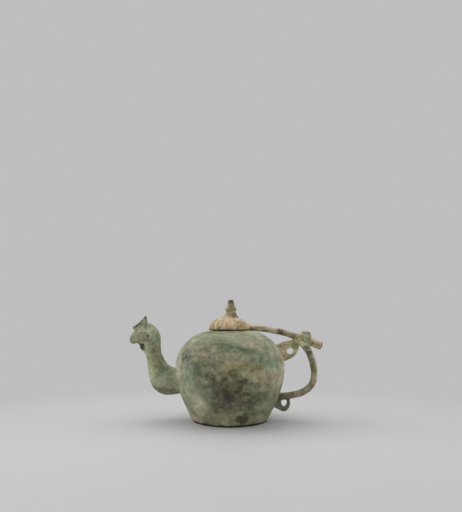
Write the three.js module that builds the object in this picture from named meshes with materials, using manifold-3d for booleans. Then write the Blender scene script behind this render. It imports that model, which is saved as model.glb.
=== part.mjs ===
// A cast bronze ewer: a round body, a hollow spout that ends in a rooster's head, and a lid on a
// long lever that turns in a fork at the top of the handle.
// Millimetres, +Z up. The origin is the centre of the flat base. The handle lies along +X and the
// spout along -X, and the object is the same on both sides of the XZ plane.

import * as THREE from 'three';
import { mergeVertices } from 'three/addons/utils/BufferGeometryUtils.js';
import Module from 'manifold-3d';

const wasm = await Module();
wasm.setup();

// Shared fits
const seatGap = 0.3; // between two pieces that are brazed or riveted together
const turnGap = 0.4; // on each side of a piece that turns
const overrun = 6; // how far a cut runs past the metal

// Body
const baseRadius = 39.5;
const baseBevel = 1.4;
const bellyRadius = 60;
const bellyHeight = 57;
const shoulderHeight = 95.2;
const bodyWall = 2.6;
const floorThickness = 3;
const lipOuterRadius = 20.5;
const mouthRadius = 17.5;
const lipHeight = 0.8;
const lowerFullnessShare = 0.93; // the sine that swells the lower wall is raised to this
const shoulderRiseShare = 0.53; // how upright the shoulder leaves the belly
const shoulderRunShare = 0.5; // how flat the shoulder reaches the lip

// Lid
const capRadius = 22.4;
const capRimHeight = 2.9;
const capHeight = 15.3;
const capWall = 2;
const crownRadius = 6.4; // flat land that the finial stands on
const capRiseShare = 0.35;
const capRunShare = 0.25;
const petals = 8;
const petalGroove = 0.7; // depth of the groove between two petals of the dome
const flankRadius = 32.3; // of the wide arc that hollows the flank towards the lever
const flankReach = 10.1; // from the rim of the cap out to the middle of that arc
const flankRise = 19.2; // from the top of the cap up to the middle of that arc
const collarDepth = 2.5;
const collarWall = 1.8;
const collarPlay = 0.9; // round the collar, so that it swings clear of the mouth

// Finial
const finialHeight = 18;
const finialRadius = 5.9;
const tenonRadius = 2.6;
const tenonReach = 1; // below the inside of the crown
const finialOutlineShares = [
  [1, 0], [0.95, 0.08], [0.82, 0.2], [0.8, 0.28], [1, 0.34], [1, 0.46],
  [0.7, 0.52], [0.6, 0.58], [0.48, 0.74], [0.4, 0.88], [0.34, 0.96], [0.2, 1],
];

// Hinge
const hingeReach = 21.9; // from the belly out to the pin
const hingeDrop = 9; // from the shoulder down to the pin
const lidOpening = 17; // degrees, where the thumb-piece comes down on the fork
const pinRadius = 1.9;
const pinProud = 0.4;
const leverSteepness = 1.923; // where it crosses the pin, against the slope of the whole lever
const leverHalfWidth = 3.6;
const leverRootHalfHeight = 2;
const leverHalfHeight = 3.2;
const thumbHalfHeight = 3.85;
const thumbLength = 20.5; // from the pin to the end of the thumb-piece
const earThickness = 3;
const forkSize = 10;
const forkOutlineShares = [
  [-0.94, -0.17], [-0.84, 0.26], [-0.2, 0.55], [-0.06, 0.76], [0.23, 0.83], [0.53, 0.73],
  [0.7, 0.46], [0.69, -0.82], [0.83, -1.22], [0.05, -1.22], [-0.15, -0.9], [-0.74, -0.47],
];
const forkSeatShare = 1.05; // a copy of the fork this much larger clears its neighbours

// Lever: places along it from the rim of the cap to the pin
const leverRootHeight = 2.4; // above the underside of the cap
const leverPathShares = [
  [-0.07, 1.02], [0.055, 1], [0.205, 0.88], [0.353, 0.788], [0.52, 0.664], [0.657, 0.528], [0.776, 0.368],
];
const leverRootSpread = 1.6; // how much wider the root is than the arm, as a ratio

// Upper bracket and its ring
const bracketDrop = 13; // from the pin down to the middle of the ring
const bracketRise = 11;
const bracketHalfWidth = 3.5;
const bracketFoldShares = [[-0.12, -1.06], [0.088, -1.01], [0.349, -0.79], [0.6, -0.44], [0.735, 0.12]];
const bracketNeckShares = [[0.8, 0.48], [0.9, 1.0], [0.66, 1.2], [0.57, 1.16]];
const bracketBackShares = [[0.462, 1.06], [0.3, 1.0], [0.133, 0.93], [-0.165, 0.55], [-0.32, 0.35]];
const upperHoleShares = [0.4, 0];
const upperHoleSizeShares = [0.172, 0.345]; // half its length and height

// Handle
const handleReach = 32.5; // from the belly out to the middle of the bar
const handleFootHeight = 25;
const handleHalfHeight = 3.45;
const handleHalfWidth = 4.5;
const handlePathShares = [
  [0.72, 1.1], [0.805, 1], [0.865, 0.92], [0.955, 0.735], [1, 0.551], [0.98, 0.37],
  [0.875, 0.222], [0.694, 0.123], [0.489, 0.06], [0.144, 0.01], [-0.1, 0.0], [-0.3, -0.02],
];

// Lower ring
const ringReach = 16.2; // outwards from the wall
const ringHeight = 16.7;
const ringRise = 7.5;
const ringHalfWidth = 2.8;
const ringOutlineShares = [
  [-0.2, -0.5], [0.12, -0.62], [0.36, -0.93], [0.56, -1.02], [0.78, -0.86],
  [0.95, -0.48], [1.01, 0.02], [0.97, 0.45], [0.93, 0.75],
];
const ringTopShares = [[0.93, 1.15], [-0.2, 1.15]];
const lowerHoleShares = [0.6, 0.1];
const lowerHoleHalfLength = 3.6;
const lowerHoleHalfHeight = 4.1;
const edgeRound = 1.1; // on the edges of the bracket and the ring

// Spout and head: ribs from the root to the tip of the beak. Each row has the back or upper end
// of the rib, its front or lower end, and its half width.
const spoutHeight = 41.3;
const spoutReach = 53.3; // from the wall out to the beak
const spoutRise = 63.6; // from the root up to the crown
const spoutHalfWidth = 15.2;
const spoutWall = 2.3;
const spoutPortRadius = 8.5;
const spoutRibShares = [
  [-0.154, 0.2, -0.154, -0.203, 0.84],
  [0.024, 0.215, 0.006, -0.222, 0.92],
  [0.129, 0.239, 0.212, -0.236, 0.99],
  [0.208, 0.286, 0.4, -0.175, 1],
  [0.263, 0.347, 0.522, -0.058, 0.93],
  [0.3, 0.404, 0.582, 0.105, 0.79],
  [0.326, 0.451, 0.615, 0.286, 0.62],
  [0.34, 0.491, 0.651, 0.42, 0.57],
  [0.349, 0.553, 0.694, 0.489, 0.59],
  [0.353, 0.616, 0.782, 0.547, 0.62],
  [0.351, 0.687, 0.818, 0.621, 0.64],
  [0.362, 0.774, 0.837, 0.643, 0.645],
  [0.409, 0.858, 0.878, 0.632, 0.61],
  [0.503, 0.942, 0.921, 0.626, 0.54],
  [0.634, 0.995, 0.962, 0.634, 0.45],
  [0.775, 0.901, 0.989, 0.654, 0.34],
  [0.887, 0.86, 0.998, 0.69, 0.26],
  [0.953, 0.805, 1, 0.726, 0.145],
];
const neckEndRib = 7; // the head is joined to the neck at this rib
const throatEndRib = 10.2; // the hollow ends here, above the mouth
const mouthShares = [[0.5, 0.6], [0.68, 0.605], [0.88, 0.6]];
const mouthHalfHeight = 2.9;
const mouthHalfWidth = 4.4;

// Eyes
const eyeShares = [0.585, 0.763];
const eyeRingRadius = 2.8;
const eyeRingThickness = 1;
const eyePitRadius = 1.5;
const eyeSeatShare = 0.6; // of the spout's half width

// Corners of the open beak, cut through from side to side
const gapeShares = [0.696, 0.61];
const gapeHalfLength = 1.3;
const gapeHalfHeight = 1.5;

// Comb
const combShares = [0.685, 0.86];
const combLength = 14;
const combRise = 15.5;
const combHalfThickness = 2.2;
const combBevel = 0.7;
const combToothDepth = 1;
const combTeeth = 4;
const combBackShares = [[-0.07, -0.06], [-0.16, 0.52]];
const combApexShares = [-0.1, 1];
const combFrontShares = [0.886, 0.17];
const combNoseShares = [[0.757, -0.02], [0.66, -0.12]];

// Resolution
const bodySides = 48;
const lidSides = 48;
const ribSides = 24;
const barSides = 12;
const squareCornerShare = 0.6;
const lowStepShare = 1.3; // draws the rings of the lower wall towards the base

const degree = Math.PI / 180;
const hingeX = bellyRadius + hingeReach;
const hingeHeight = shoulderHeight - hingeDrop;
const bracketHeight = hingeHeight - bracketDrop;

// Turns a closed geometry into a solid. Vertices are shared and flat triangles dropped first.
function solid(geometry) {
  const bare = geometry.clone();
  bare.deleteAttribute('normal');
  bare.deleteAttribute('uv');
  const merged = mergeVertices(bare);
  const corners = merged.index.array;
  const points = merged.getAttribute('position');
  const kept = [];
  let volume = 0;
  for (let i = 0; i < corners.length; i += 3) {
    const [a, b, c] = [corners[i], corners[i + 1], corners[i + 2]];
    if (a === b || b === c || c === a) continue;
    kept.push([a, b, c]);
    const p = new THREE.Vector3().fromBufferAttribute(points, a);
    const q = new THREE.Vector3().fromBufferAttribute(points, b);
    const r = new THREE.Vector3().fromBufferAttribute(points, c);
    volume += p.dot(q.cross(r));
  }
  const outward = volume < 0 ? kept.map(([a, b, c]) => [a, c, b]) : kept;
  const mesh = new wasm.Mesh({
    numProp: 3,
    vertProperties: new Float32Array(points.array),
    triVerts: new Uint32Array(outward.flat()),
  });
  mesh.merge();
  return new wasm.Manifold(mesh);
}

function geometryOf(manifold) {
  const mesh = manifold.getMesh();
  const geometry = new THREE.BufferGeometry();
  geometry.setAttribute('position', new THREE.BufferAttribute(mesh.vertProperties, 3));
  geometry.setIndex(new THREE.BufferAttribute(mesh.triVerts, 1));
  geometry.computeVertexNormals();
  return geometry;
}

// Joins rings of equal length into one closed skin with a cap at each end
function loft(rings) {
  const count = rings[0].length;
  const points = rings.flat();
  const triangles = [];
  for (let i = 0; i < rings.length - 1; i += 1) {
    for (let j = 0; j < count; j += 1) {
      const a = i * count + j;
      const b = i * count + (j + 1) % count;
      triangles.push(a, b, b + count, a, b + count, a + count);
    }
  }
  const ends = [rings[0], rings[rings.length - 1]];
  ends.forEach((ring, side) => {
    const middle = ring.reduce((sum, point) => sum.add(point), new THREE.Vector3());
    points.push(middle.divideScalar(count));
    const start = side === 0 ? 0 : (rings.length - 1) * count;
    for (let j = 0; j < count; j += 1) {
      const here = start + j;
      const next = start + (j + 1) % count;
      const corners = side === 0 ? [next, here] : [here, next];
      triangles.push(points.length - 1, ...corners);
    }
  });
  const geometry = new THREE.BufferGeometry().setFromPoints(points);
  geometry.setIndex(triangles);
  return solid(geometry);
}

// One ring between two points of the XZ plane. A corner share of 1 gives an oval, less a square.
function ribRing(high, low, halfWidth, sides, cornerShare = 1) {
  const ring = [];
  const soften = (value) => Math.sign(value) * Math.abs(value) ** cornerShare;
  const middle = high.clone().add(low).divideScalar(2);
  const reach = high.clone().sub(middle);
  for (let j = 0; j < sides; j += 1) {
    const angle = 2 * Math.PI * j / sides;
    const along = soften(Math.sin(angle));
    const across = halfWidth * soften(Math.cos(angle));
    ring.push(new THREE.Vector3(middle.x + reach.x * along, across, middle.y + reach.y * along));
  }
  return ring;
}

// A bar along a curve of the XZ plane
function sweep(curve, steps, sides, halfHeightAt, halfWidthAt, cornerShare) {
  const rings = [];
  for (let i = 0; i <= steps; i += 1) {
    const share = i / steps;
    const middle = curve.getPoint(share);
    const direction = curve.getTangent(share);
    const up = new THREE.Vector2(-direction.y, direction.x).multiplyScalar(halfHeightAt(share));
    const high = middle.clone().add(up);
    const low = middle.clone().sub(up);
    rings.push(ribRing(high, low, halfWidthAt(share), sides, cornerShare));
  }
  return loft(rings);
}

// A closed outline of radius and height, turned round the Z axis
function turned(outline, sides) {
  return solid(new THREE.LatheGeometry(outline, sides).rotateX(Math.PI / 2));
}

// An outline of the XZ plane, made thick along Y, the same on both sides
function plate(shape, halfWidth, round = 0) {
  const geometry = new THREE.ExtrudeGeometry(shape, {
    depth: 2 * (halfWidth - round),
    bevelEnabled: round > 0,
    bevelThickness: round,
    bevelSize: round,
    bevelOffset: -round,
    bevelSegments: 2,
  });
  geometry.translate(0, 0, round - halfWidth);
  return solid(geometry.rotateX(Math.PI / 2));
}

// Places on a smooth curve through the given ones
function smoothed(places) {
  return new THREE.SplineCurve(places).getPoints(2 * (places.length - 1));
}

function ovalHole(centre, halfLength, halfHeight) {
  const oval = new THREE.EllipseCurve(centre.x, centre.y, halfLength, halfHeight, 0, 2 * Math.PI, true);
  return new THREE.Path(oval.getPoints(20).slice(1));
}

// A rod along Y
function crossRod(x, z, radius, halfLength, sides) {
  const geometry = new THREE.CylinderGeometry(radius, radius, 2 * halfLength, sides);
  return solid(geometry.translate(x, 0, z));
}

function vector(x, y) {
  return new THREE.Vector2(x, y);
}

// Body outline: a sine swells the lower wall, one curve closes the shoulder
function lowerRadius(height) {
  const swell = Math.sin(Math.PI / 2 * Math.max(height, 0) / bellyHeight) ** lowerFullnessShare;
  return baseRadius + (bellyRadius - baseRadius) * swell;
}

const shoulderRise = shoulderHeight - bellyHeight;
const shoulderRun = bellyRadius - lipOuterRadius;
const shoulderCurve = new THREE.CubicBezierCurve(
  vector(bellyRadius, bellyHeight),
  vector(bellyRadius, bellyHeight + shoulderRise * shoulderRiseShare),
  vector(lipOuterRadius + shoulderRun * shoulderRunShare, shoulderHeight),
  vector(lipOuterRadius, shoulderHeight),
);

function wallRadius(height) {
  if (height <= bellyHeight) return lowerRadius(height);
  let [low, high] = [0, 1];
  for (let i = 0; i < 30; i += 1) {
    const middle = (low + high) / 2;
    if (shoulderCurve.getPoint(middle).y < height) low = middle;
    else high = middle;
  }
  return shoulderCurve.getPoint(low).x;
}

// The wall from the base to the lip, moved out or, with a negative value, in
function wallOutline(offset, steps) {
  const outline = [];
  for (let i = 1; i <= steps; i += 1) {
    const height = bellyHeight * (i / steps) ** lowStepShare;
    outline.push(vector(lowerRadius(height), height));
  }
  outline.push(...shoulderCurve.getPoints(steps).slice(1));
  return outline.map((point, i) => {
    const before = outline[Math.max(i - 1, 0)];
    const after = outline[Math.min(i + 1, outline.length - 1)];
    const direction = after.clone().sub(before).normalize();
    return vector(point.x + direction.y * offset, point.y - direction.x * offset);
  });
}

function bodyBlank(grow) {
  const outline = [
    vector(0, -grow),
    vector(baseRadius + grow, -grow),
    ...wallOutline(grow, 9),
    vector(0, shoulderHeight + grow),
  ];
  return turned(outline, bodySides);
}

function vesselBody() {
  const inner = wallOutline(-bodyWall, 7).filter((point) => point.y > floorThickness + bodyWall);
  const throat = inner.filter((point) => point.x > mouthRadius);
  const throatTop = throat[throat.length - 1].y;
  const outline = [
    vector(0, 0),
    vector(baseRadius, 0),
    vector(lowerRadius(baseBevel), baseBevel),
    ...wallOutline(0, 9).filter((point) => point.y > 2 * baseBevel),
    vector(lipOuterRadius, shoulderHeight + lipHeight),
    vector(mouthRadius, shoulderHeight + lipHeight),
    vector(mouthRadius, throatTop),
    ...throat.reverse(),
    vector(lowerRadius(floorThickness) - bodyWall - floorThickness, floorThickness),
    vector(0, floorThickness),
  ];
  const port = new THREE.CylinderGeometry(spoutPortRadius, spoutPortRadius, bellyRadius, 24);
  port.rotateZ(Math.PI / 2).translate(-bellyRadius, 0, spoutHeight);
  return turned(outline, bodySides).subtract(solid(port));
}

// A place on the spout, from shares of its reach and rise
function spoutPlace(outShare, upShare) {
  return vector(-wallRadius(spoutHeight) - spoutReach * outShare, spoutHeight + spoutRise * upShare);
}

const backCurve = new THREE.SplineCurve(spoutRibShares.map((rib) => spoutPlace(rib[0], rib[1])));
const frontCurve = new THREE.SplineCurve(spoutRibShares.map((rib) => spoutPlace(rib[2], rib[3])));
const widthCurve = new THREE.SplineCurve(spoutRibShares.map((rib) => vector(spoutHalfWidth * rib[4], 0)));

// The spout between two ribs, in by the given wall all round
function ribbedLoft(firstRib, lastRib, steps, inset) {
  const rings = [];
  for (let i = 0; i <= steps; i += 1) {
    const share = (firstRib + (lastRib - firstRib) * i / steps) / (spoutRibShares.length - 1);
    const high = backCurve.getPoint(share);
    const low = frontCurve.getPoint(share);
    const inward = low.clone().sub(high).normalize().multiplyScalar(inset);
    const halfWidth = widthCurve.getPoint(share).x - inset;
    rings.push(ribRing(high.add(inward), low.sub(inward), halfWidth, ribSides));
  }
  return loft(rings);
}

function spoutNeck() {
  const gapInRibs = seatGap / spoutRise * (spoutRibShares.length - 1);
  const outside = ribbedLoft(0, neckEndRib - gapInRibs, 15, 0);
  const hollow = ribbedLoft(0, neckEndRib + 1, 12, spoutWall);
  return outside.subtract(hollow).subtract(bodyBlank(seatGap));
}

function mouthPassage() {
  const curve = new THREE.SplineCurve(mouthShares.map(([out, up]) => spoutPlace(out, up)));
  return sweep(curve, 6, barSides, () => mouthHalfHeight, () => mouthHalfWidth, 1);
}

// The comb's outline. The seat that it needs in the skull is the same, larger by the gap.
function combPlate(grow) {
  const foot = spoutPlace(...combShares);
  const place = ([out, up]) => vector(foot.x - combLength * out, foot.y + combRise * up);
  const apex = place(combApexShares);
  const front = place(combFrontShares);
  const edge = front.clone().sub(apex);
  const inward = vector(-edge.y, edge.x).normalize();
  const teeth = [];
  for (let i = 1; i < 2 * combTeeth; i += 1) {
    const depth = i % 2 === 1 ? 0 : combToothDepth;
    const point = apex.clone().add(edge.clone().multiplyScalar(i / (2 * combTeeth)));
    teeth.push(point.add(inward.clone().multiplyScalar(depth)));
  }
  const nose = combNoseShares.map(place);
  const back = combBackShares.map(place);
  nose.forEach((point) => point.add(vector(-grow, -grow)));
  back.forEach((point) => point.add(vector(grow, -grow)));
  const shape = new THREE.Shape([...back, apex, ...teeth, front, ...nose]);
  return plate(shape, combHalfThickness + grow, grow > 0 ? 0 : combBevel);
}

function roosterHead() {
  const eye = spoutPlace(...eyeShares);
  const seat = spoutHalfWidth * eyeSeatShare;
  let head = ribbedLoft(neckEndRib, spoutRibShares.length - 1, 22, 0);
  head = head.subtract(ribbedLoft(neckEndRib - 1, throatEndRib, 8, spoutWall));
  head = head.subtract(mouthPassage()).subtract(combPlate(seatGap));
  const gape = new THREE.Shape();
  const corner = spoutPlace(...gapeShares);
  gape.absellipse(corner.x, corner.y, gapeHalfLength, gapeHalfHeight, 0, 2 * Math.PI);
  head = head.subtract(plate(gape, seat + overrun));
  for (const side of [-1, 1]) {
    const ring = new THREE.TorusGeometry(eyeRingRadius, eyeRingThickness, 6, 16);
    ring.rotateX(Math.PI / 2).translate(eye.x, side * seat, eye.y);
    const pit = new THREE.SphereGeometry(eyePitRadius, 8, 6);
    pit.translate(eye.x, side * (seat + eyePitRadius / 2), eye.y);
    head = head.add(solid(ring)).subtract(solid(pit));
  }
  return head;
}

// The curve of the lever: from the cap over the shoulder, straight across the pin
const capBottom = shoulderHeight + lipHeight + seatGap;
const leverRun = hingeX - capRadius;
const leverRise = capBottom + leverRootHeight - hingeHeight;
const leverSlope = Math.atan(leverSteepness * leverRise / leverRun);
const leverDirection = vector(Math.cos(leverSlope), -Math.sin(leverSlope));
const pin = vector(hingeX, hingeHeight);

function leverCurve() {
  const place = ([out, up]) => vector(capRadius + leverRun * out, hingeHeight + leverRise * up);
  const arm = leverPathShares.map(place);
  const middle = pin.clone().add(leverDirection.clone().multiplyScalar(thumbLength / 2));
  const end = pin.clone().add(leverDirection.clone().multiplyScalar(thumbLength));
  return new THREE.SplineCurve([...arm, pin, middle, end]);
}

function lidLever() {
  const curve = leverCurve();
  const last = leverPathShares.length + 2;
  const pinShare = leverPathShares.length / last;
  const nearPinShare = (leverPathShares.length - 1) / last;
  const halfHeightAt = (share) => {
    const swell = THREE.MathUtils.smoothstep(share, nearPinShare, pinShare);
    const root = 1 - THREE.MathUtils.smoothstep(share, 0, 2 / last);
    const height = THREE.MathUtils.lerp(leverHalfHeight, thumbHalfHeight, swell);
    return THREE.MathUtils.lerp(height, leverRootHalfHeight, root);
  };
  const halfWidthAt = (share) => {
    const root = 1 - THREE.MathUtils.smoothstep(share, 0, 2 / last);
    return leverHalfWidth * (1 + (leverRootSpread - 1) * root);
  };
  const bar = sweep(curve, 26, barSides, halfHeightAt, halfWidthAt, squareCornerShare);
  const hole = crossRod(hingeX, hingeHeight, pinRadius + seatGap, leverHalfWidth + overrun, 16);
  return bar.subtract(hole).subtract(capBlank(seatGap, overrun));
}

// The room that the lever needs in the fork: all above its underside, closed and fully open
function leverSlot() {
  const reach = thumbHalfHeight + turnGap;
  const top = pin.y + 2 * forkSize;
  const toward = (angle, distance) => vector(Math.cos(angle), Math.sin(angle)).multiplyScalar(distance);
  const [closed, open] = [-leverSlope, -leverSlope - lidOpening * degree].map((angle) => {
    const below = pin.clone().add(toward(angle - Math.PI / 2, reach));
    const left = below.clone().add(toward(angle, -2 * forkSize));
    const right = below.clone().add(toward(angle, 2 * forkSize));
    const shape = new THREE.Shape([left, right, vector(right.x, top), vector(left.x, top)]);
    return plate(shape, forkInside);
  });
  return closed.add(open);
}

const forkInside = leverHalfWidth + turnGap;
const forkHalfWidth = forkInside + earThickness;
const forkBottom = hingeHeight + forkSize * Math.min(...forkOutlineShares.map((point) => point[1]));

function forkBlank(scaleShare, halfWidth) {
  const size = forkSize * scaleShare;
  const outline = forkOutlineShares.map(([out, up]) => vector(pin.x + size * out, pin.y + size * up));
  return plate(new THREE.Shape(outline), halfWidth);
}

// An ear of the fork, which carries the pin on one side of the lever
function forkEar(side) {
  const bore = crossRod(hingeX, hingeHeight, pinRadius + seatGap, forkHalfWidth + overrun, 12);
  const rest = new THREE.BoxGeometry(4 * forkSize, 2 * forkHalfWidth, 4 * forkSize);
  rest.translate(hingeX, side * (forkInside - forkHalfWidth), hingeHeight);
  return forkBlank(1, forkHalfWidth).subtract(solid(rest)).subtract(bore);
}

// The block that joins the two ears below the lever
function forkSaddle() {
  return forkBlank(1, forkInside - seatGap).subtract(leverSlot());
}

function hingePin() {
  return crossRod(hingeX, hingeHeight, pinRadius, forkHalfWidth + pinProud, 16);
}

function upperBracket() {
  const foot = wallRadius(bracketHeight);
  const run = hingeX - foot;
  const place = ([out, up]) => vector(foot + run * out, bracketHeight + bracketRise * up);
  const fold = smoothed(bracketFoldShares.map(place));
  const back = smoothed(bracketBackShares.map(place));
  const shape = new THREE.Shape([...fold, ...bracketNeckShares.map(place), ...back]);
  const [lengthShare, heightShare] = upperHoleSizeShares;
  shape.holes.push(ovalHole(place(upperHoleShares), run * lengthShare, bracketRise * heightShare));
  const bracket = plate(shape, bracketHalfWidth, edgeRound).subtract(bodyBlank(seatGap));
  const forkSeat = forkBlank(forkSeatShare, forkHalfWidth * forkSeatShare);
  return bracket.subtract(forkSeat).subtract(leverSlot());
}

function handlePlace([out, up]) {
  const rise = forkBottom - handleFootHeight;
  return vector(bellyRadius + handleReach * out, handleFootHeight + rise * up);
}

function handleSweep(grow) {
  const curve = new THREE.SplineCurve(handlePathShares.map(handlePlace));
  const height = () => handleHalfHeight + grow;
  const width = () => handleHalfWidth + grow;
  return sweep(curve, 30, barSides, height, width, squareCornerShare);
}

function handleBar() {
  const above = new THREE.BoxGeometry(2 * handleReach, 2 * forkSize, 2 * forkSize);
  above.translate(hingeX, 0, forkBottom - seatGap + forkSize);
  return handleSweep(0).subtract(solid(above)).subtract(bodyBlank(seatGap));
}

function lowerRing() {
  const foot = wallRadius(ringHeight);
  const place = ([out, up]) => vector(foot + ringReach * out, ringHeight + ringRise * up);
  const outline = smoothed(ringOutlineShares.map(place));
  const shape = new THREE.Shape([...outline, ...ringTopShares.map(place)]);
  shape.holes.push(ovalHole(place(lowerHoleShares), lowerHoleHalfLength, lowerHoleHalfHeight));
  return plate(shape, ringHalfWidth, edgeRound).subtract(bodyBlank(seatGap)).subtract(handleSweep(seatGap));
}

const flankMiddle = vector(capRadius + flankReach, capBottom + capHeight + flankRise);

// The dome of the cap, moved in by an inset
function domePoints(inset, steps) {
  const rim = capBottom + capRimHeight;
  const top = capBottom + capHeight;
  const curve = new THREE.CubicBezierCurve(
    vector(capRadius - inset, rim),
    vector(capRadius - inset, rim + (top - rim) * capRiseShare),
    vector(crownRadius + (capRadius - crownRadius) * capRunShare, top - inset),
    vector(crownRadius, top - inset),
  );
  return curve.getPoints(steps);
}

// The outside of the cap, larger by the given gap and run down below its rim
function capBlank(grow, below) {
  const outline = [
    vector(0, capBottom - below),
    vector(capRadius + grow, capBottom - below),
    ...domePoints(-grow, 9),
    vector(0, capBottom + capHeight + grow),
  ];
  return turned(outline, lidSides);
}

// Presses grooves into the dome, so that it reads as a ring of petals round the crown
function pressPetals(geometry) {
  const points = geometry.getAttribute('position');
  const top = capBottom + capHeight;
  for (let i = 0; i < points.count; i += 1) {
    const [x, y, z] = [points.getX(i), points.getY(i), points.getZ(i)];
    const radius = Math.hypot(x, y);
    const dome = THREE.MathUtils.smoothstep(z, capBottom + capRimHeight / 2, capBottom + capHeight / 3);
    const crown = THREE.MathUtils.smoothstep(radius, crownRadius, capRadius / 2);
    const groove = 1 - Math.abs(Math.cos(petals / 2 * Math.atan2(y, x)));
    const depth = petalGroove * groove * dome * crown;
    const lift = (z - capBottom) / (top - capBottom);
    const shrink = 1 - depth * (1 - lift) / radius;
    points.setXYZ(i, x * shrink, y * shrink, z - depth * lift);
  }
  return geometry;
}

// The hollow under the dome. All round, it keeps the wall away from the hollowed flank.
function hollowPoints(steps) {
  const reach = flankRadius + capWall;
  const heights = [capBottom + capRimHeight, capBottom + capHeight - capWall];
  const [start, end] = heights.map((height) => Math.PI + Math.asin((flankMiddle.y - height) / reach));
  const points = [];
  for (let i = 0; i <= steps; i += 1) {
    const angle = THREE.MathUtils.lerp(start, end, i / steps);
    points.push(vector(Math.cos(angle), Math.sin(angle)).multiplyScalar(reach).add(flankMiddle));
  }
  return points;
}

function lidCap() {
  const collarRadius = mouthRadius - collarPlay;
  const hole = tenonRadius + seatGap;
  const outline = [
    vector(hole, capBottom + capHeight),
    ...domePoints(0, 9).reverse(),
    vector(capRadius, capBottom),
    vector(collarRadius, capBottom),
    vector(collarRadius, capBottom - collarDepth),
    vector(collarRadius - collarWall, capBottom - collarDepth),
    vector(collarRadius - collarWall, capBottom + capRimHeight),
    ...hollowPoints(5),
    vector(hole, capBottom + capHeight - capWall),
    vector(hole, capBottom + capHeight),
  ];
  const cap = new THREE.LatheGeometry(outline, lidSides).rotateX(Math.PI / 2);
  const flank = crossRod(flankMiddle.x, flankMiddle.y, flankRadius, capRadius + overrun, 72);
  return solid(pressPetals(cap)).subtract(flank);
}

function lidFinial() {
  const foot = capBottom + capHeight + seatGap;
  const outline = [
    vector(0, foot - seatGap - capWall - tenonReach),
    vector(tenonRadius, foot - seatGap - capWall - tenonReach),
    vector(tenonRadius, foot),
    ...finialOutlineShares.map(([out, up]) => vector(finialRadius * out, foot + finialHeight * up)),
    vector(0, foot + finialHeight),
  ];
  return turned(outline, 24);
}

// Colours of the corroded bronze, piece by piece
const pieces = [
  ['vessel_body', vesselBody, 0x7b8567],
  ['spout_neck', spoutNeck, 0x737d5c],
  ['rooster_head', roosterHead, 0x7d8660],
  ['comb_plate', () => combPlate(0), 0x6b7052],
  ['upper_bracket', upperBracket, 0x86835f],
  ['fork_ear_front', () => forkEar(-1), 0x7c8153],
  ['fork_ear_back', () => forkEar(1), 0x7c8153],
  ['fork_saddle', forkSaddle, 0x7c8153],
  ['hinge_pin', hingePin, 0x5e5c42],
  ['handle_bar', handleBar, 0x74725a],
  ['lower_ring', lowerRing, 0x545c48],
  ['lid_cap', lidCap, 0xa58f6b],
  ['lid_finial', lidFinial, 0x9f8c6e],
  ['lid_lever', lidLever, 0x8d7f63],
];

const ewer = new THREE.Group();
for (const [name, make, colour] of pieces) {
  const material = new THREE.MeshStandardMaterial({ color: colour, roughness: 0.75, metalness: 0.3 });
  const mesh = new THREE.Mesh(geometryOf(make()), material);
  mesh.name = name;
  ewer.add(mesh);
}

export default ewer;
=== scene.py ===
import math

import bpy
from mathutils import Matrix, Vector


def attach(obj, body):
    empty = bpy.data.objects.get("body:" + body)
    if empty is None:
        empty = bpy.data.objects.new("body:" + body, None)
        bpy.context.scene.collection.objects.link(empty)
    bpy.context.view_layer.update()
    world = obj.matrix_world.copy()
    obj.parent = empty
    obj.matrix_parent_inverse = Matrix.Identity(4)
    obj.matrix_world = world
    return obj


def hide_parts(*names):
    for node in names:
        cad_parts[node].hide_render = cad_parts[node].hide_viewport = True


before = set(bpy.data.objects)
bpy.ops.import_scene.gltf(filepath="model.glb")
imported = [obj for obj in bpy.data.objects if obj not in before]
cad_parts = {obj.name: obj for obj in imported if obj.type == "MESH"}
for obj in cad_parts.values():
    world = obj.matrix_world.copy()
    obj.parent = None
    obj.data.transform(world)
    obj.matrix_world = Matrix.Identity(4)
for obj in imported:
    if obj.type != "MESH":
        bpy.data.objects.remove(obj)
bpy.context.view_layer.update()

# A corroded bronze ewer. Lengths are in millimetres until MM turns them into metres.
MM = 0.001
QUARTER = math.pi / 2
DOUBLES = 0.001 * MM  # points closer than this are merged
CREASE = math.radians(50)  # edges sharper than this are rounded, or stay crisp
PIN_X, PIN_Z, PIN_RADIUS, PIN_HOLE = 81.9, 86.2, 1.9, 2.2
LEVER_SLOPE = math.radians(22)  # of the lever where it crosses the pin


# Modelling

def only(piece):
    """Makes a piece the only one selected, and the active one."""
    bpy.ops.object.select_all(action="DESELECT")
    piece.select_set(True)
    bpy.context.view_layer.objects.active = piece


def begin(name):
    """Names the primitive just added and opens it, with all of it selected."""
    piece = bpy.context.active_object
    only(piece)
    piece.name = name
    piece.data.name = name
    bpy.ops.object.mode_set(mode="EDIT")
    bpy.ops.mesh.select_all(action="SELECT")
    return piece


def leave(piece):
    """Closes a piece: doubles merged, faces outwards, its place in its mesh."""
    bpy.ops.mesh.select_all(action="SELECT")
    bpy.ops.mesh.remove_doubles(threshold=DOUBLES)
    bpy.ops.mesh.normals_make_consistent(inside=False)
    bpy.ops.object.mode_set(mode="OBJECT")
    only(piece)
    bpy.ops.object.transform_apply(location=True, rotation=True, scale=True)
    bpy.ops.object.select_all(action="DESELECT")
    return piece


def work(piece, kind, **settings):
    """Adds a modifier and applies it."""
    modifier = piece.modifiers.new(kind.title(), kind)
    for name, value in settings.items():
        setattr(modifier, name, value)
    only(piece)
    bpy.ops.object.modifier_apply(modifier=modifier.name)
    bpy.ops.object.select_all(action="DESELECT")


def carve(piece, *tools):
    """Cuts the tools out of a piece and throws them away."""
    for tool in tools:
        work(piece, "BOOLEAN", operation="DIFFERENCE", object=tool, solver="EXACT")
        bpy.data.objects.remove(tool)


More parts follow.
